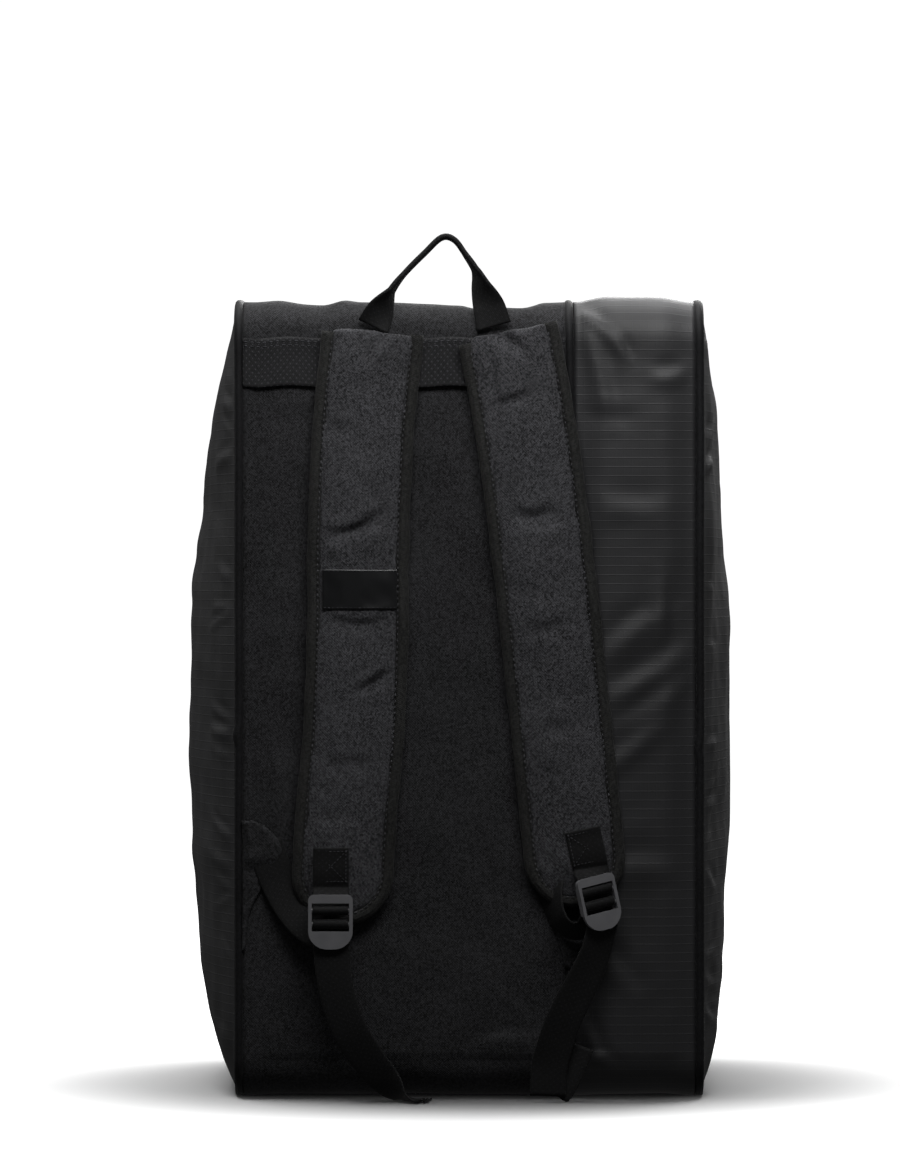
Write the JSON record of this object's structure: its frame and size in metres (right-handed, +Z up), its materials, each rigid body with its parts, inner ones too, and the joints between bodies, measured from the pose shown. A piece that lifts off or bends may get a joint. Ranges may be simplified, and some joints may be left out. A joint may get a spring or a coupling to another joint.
{
  "type": "racket tournament bag",
  "caption": "Tall rounded racket bag with padded shoulder straps, a haul loop, a wide main compartment and a slim racket compartment.",
  "frame": {"origin": "on the floor, at the middle of the whole bag's footprint, with the bag standing on its end", "axes": "+Z up along the bag's length, -Y towards the side with the shoulder straps, +X towards the racket compartment"},
  "size_m": [0.394, 0.3156, 0.6005],
  "materials": {
    "canvas": "matt black woven polyester canvas",
    "coated_ripstop": "black coated ripstop with a soft shine",
    "piping": "black piping, canvas over cord",
    "zip_tape": "black zip tape and nylon coil",
    "slider_metal": "black painted die-cast metal",
    "pull_rubber": "black moulded soft plastic",
    "buckle_plastic": "black moulded acetal, satin",
    "foam": "grey closed-cell foam",
    "board": "black polypropylene board",
    "thermal_foil": "silver foil-faced thermal lining",
    "lining": "dark grey polyester lining",
    "label_satin": "black satin woven label, blank",
    "binding": "black ribbed binding tape",
    "webbing": "black woven polyester webbing"
  },
  "bodies": {
    "root": {"back_panel": "canvas", "top_panel": "canvas", "bottom_panel": "canvas", "front_left_strip": "canvas", "front_right_strip": "canvas", "left_side_panel": "coated_ripstop", "divider": "lining", "mesh_pocket": "lining", "back_foam": "foam", "base_board": "board", "racket_back_panel": "coated_ripstop", "racket_top_panel": "coated_ripstop", "racket_bottom_panel": "coated_ripstop", "racket_hinge_strip": "coated_ripstop", "racket_front_strip": "coated_ripstop", "right_side_panel": "coated_ripstop", "thermal_lining": "thermal_foil", "left_piping": "piping", "middle_piping": "piping", "right_piping": "piping", "lid_frame_tape": "zip_tape", "flap_frame_tape": "zip_tape", "anchor_band": "webbing", "left_anchor_tab": "canvas", "left_anchor_webbing": "webbing", "right_anchor_tab": "canvas", "right_anchor_webbing": "webbing"},
    "lid": {"lid_panel": "canvas", "lid_zip_tape": "zip_tape", "pocket_zip_tape": "zip_tape", "pocket_pouch": "lining"},
    "racket_flap": {"racket_flap": "coated_ripstop", "flap_zip_tape": "zip_tape"},
    "haul_handle": {"haul_handle": "webbing"},
    "left_strap": {"left_strap_pad": "canvas", "left_strap_binding": "binding", "left_strap_patch": "webbing", "left_tail_webbing": "webbing", "strap_label": "label_satin"},
    "left_buckle": {"left_buckle": "buckle_plastic", "left_bar_wrap": "webbing"},
    "right_strap": {"right_strap_pad": "canvas", "right_strap_binding": "binding", "right_strap_patch": "webbing", "right_tail_webbing": "webbing"},
    "right_buckle": {"right_buckle": "buckle_plastic", "right_bar_wrap": "webbing"},
    "lid_upper_slider": {"lid_upper_slider": "slider_metal"},
    "lid_upper_pull": {"lid_upper_pull": "pull_rubber"},
    "lid_lower_slider": {"lid_lower_slider": "slider_metal"},
    "lid_lower_pull": {"lid_lower_pull": "pull_rubber"},
    "flap_upper_slider": {"flap_upper_slider": "slider_metal"},
    "flap_upper_pull": {"flap_upper_pull": "pull_rubber"},
    "flap_lower_slider": {"flap_lower_slider": "slider_metal"},
    "flap_lower_pull": {"flap_lower_pull": "pull_rubber"},
    "pocket_slider": {"pocket_slider": "slider_metal"},
    "pocket_pull": {"pocket_pull": "pull_rubber"}
  },
  "joints": [
    {"name": "lid_hinge", "type": "hinge", "parent": "root", "child": "lid", "pos_m": [-0.13, 0.15107, 0.275], "axis": [0, 0, 1], "range_deg": [0, 110]},
    {"name": "flap_hinge", "type": "hinge", "parent": "root", "child": "racket_flap", "pos_m": [0.16, 0.15107, 0.275], "axis": [0, 0, -1], "range_deg": [0, 110]},
    {"name": "handle_hinge", "type": "hinge", "parent": "root", "child": "haul_handle", "pos_m": [-0.0205, -0.13142, 0.5415], "axis": [1, 0, 0], "range_deg": [-25, 88]},
    {"name": "left_strap_hinge", "type": "hinge", "parent": "root", "child": "left_strap", "pos_m": [-0.06, -0.13112, 0.538], "axis": [-1, 0, 0], "range_deg": [0, 10], "deforming": ["left_anchor_webbing"]},
    {"name": "right_strap_hinge", "type": "hinge", "parent": "root", "child": "right_strap", "pos_m": [0.033, -0.13112, 0.538], "axis": [-1, 0, 0], "range_deg": [0, 10], "deforming": ["right_anchor_webbing"]},
    {"name": "left_buckle_tilt", "type": "hinge", "parent": "left_strap", "child": "left_buckle", "pos_m": [-0.09, -0.15432, 0.134], "axis": [-1, 0, 0], "range_deg": [0, 20]},
    {"name": "right_buckle_tilt", "type": "hinge", "parent": "right_strap", "child": "right_buckle", "pos_m": [0.095, -0.15432, 0.147], "axis": [-0.9781, 0, -0.2079], "range_deg": [0, 20]},
    {"name": "lid_upper_slide", "type": "slide", "parent": "lid", "child": "lid_upper_slider", "axis": [0, 0, 1], "range_m": [0, 0.13]},
    {"name": "lid_upper_pull_swing", "type": "hinge", "parent": "lid_upper_slider", "child": "lid_upper_pull", "pos_m": [0.049, 0.15577, 0.297], "axis": [1, 0, 0], "range_deg": [0, 170]},
    {"name": "lid_lower_slide", "type": "slide", "parent": "lid", "child": "lid_lower_slider", "axis": [0, 0, -1], "range_m": [0, 0.13]},
    {"name": "lid_lower_pull_swing", "type": "hinge", "parent": "lid_lower_slider", "child": "lid_lower_pull", "pos_m": [0.049, 0.15577, 0.253], "axis": [1, 0, 0], "range_deg": [0, 170]},
    {"name": "flap_upper_slide", "type": "slide", "parent": "racket_flap", "child": "flap_upper_slider", "axis": [0, 0, 1], "range_m": [0, 0.13]},
    {"name": "flap_upper_pull_swing", "type": "hinge", "parent": "flap_upper_slider", "child": "flap_upper_pull", "pos_m": [0.093, 0.15577, 0.297], "axis": [1, 0, 0], "range_deg": [0, 170]},
    {"name": "flap_lower_slide", "type": "slide", "parent": "racket_flap", "child": "flap_lower_slider", "axis": [0, 0, -1], "range_m": [0, 0.13]},
    {"name": "flap_lower_pull_swing", "type": "hinge", "parent": "flap_lower_slider", "child": "flap_lower_pull", "pos_m": [0.093, 0.15577, 0.253], "axis": [1, 0, 0], "range_deg": [0, 170]},
    {"name": "pocket_slide", "type": "slide", "parent": "lid", "child": "pocket_slider", "axis": [1, 0, 0], "range_m": [0, 0.118]},
    {"name": "pocket_pull_swing", "type": "hinge", "parent": "pocket_slider", "child": "pocket_pull", "pos_m": [-0.0995, 0.15577, 0.428], "axis": [0, 0, 1], "range_deg": [0, 170]}
  ]
}
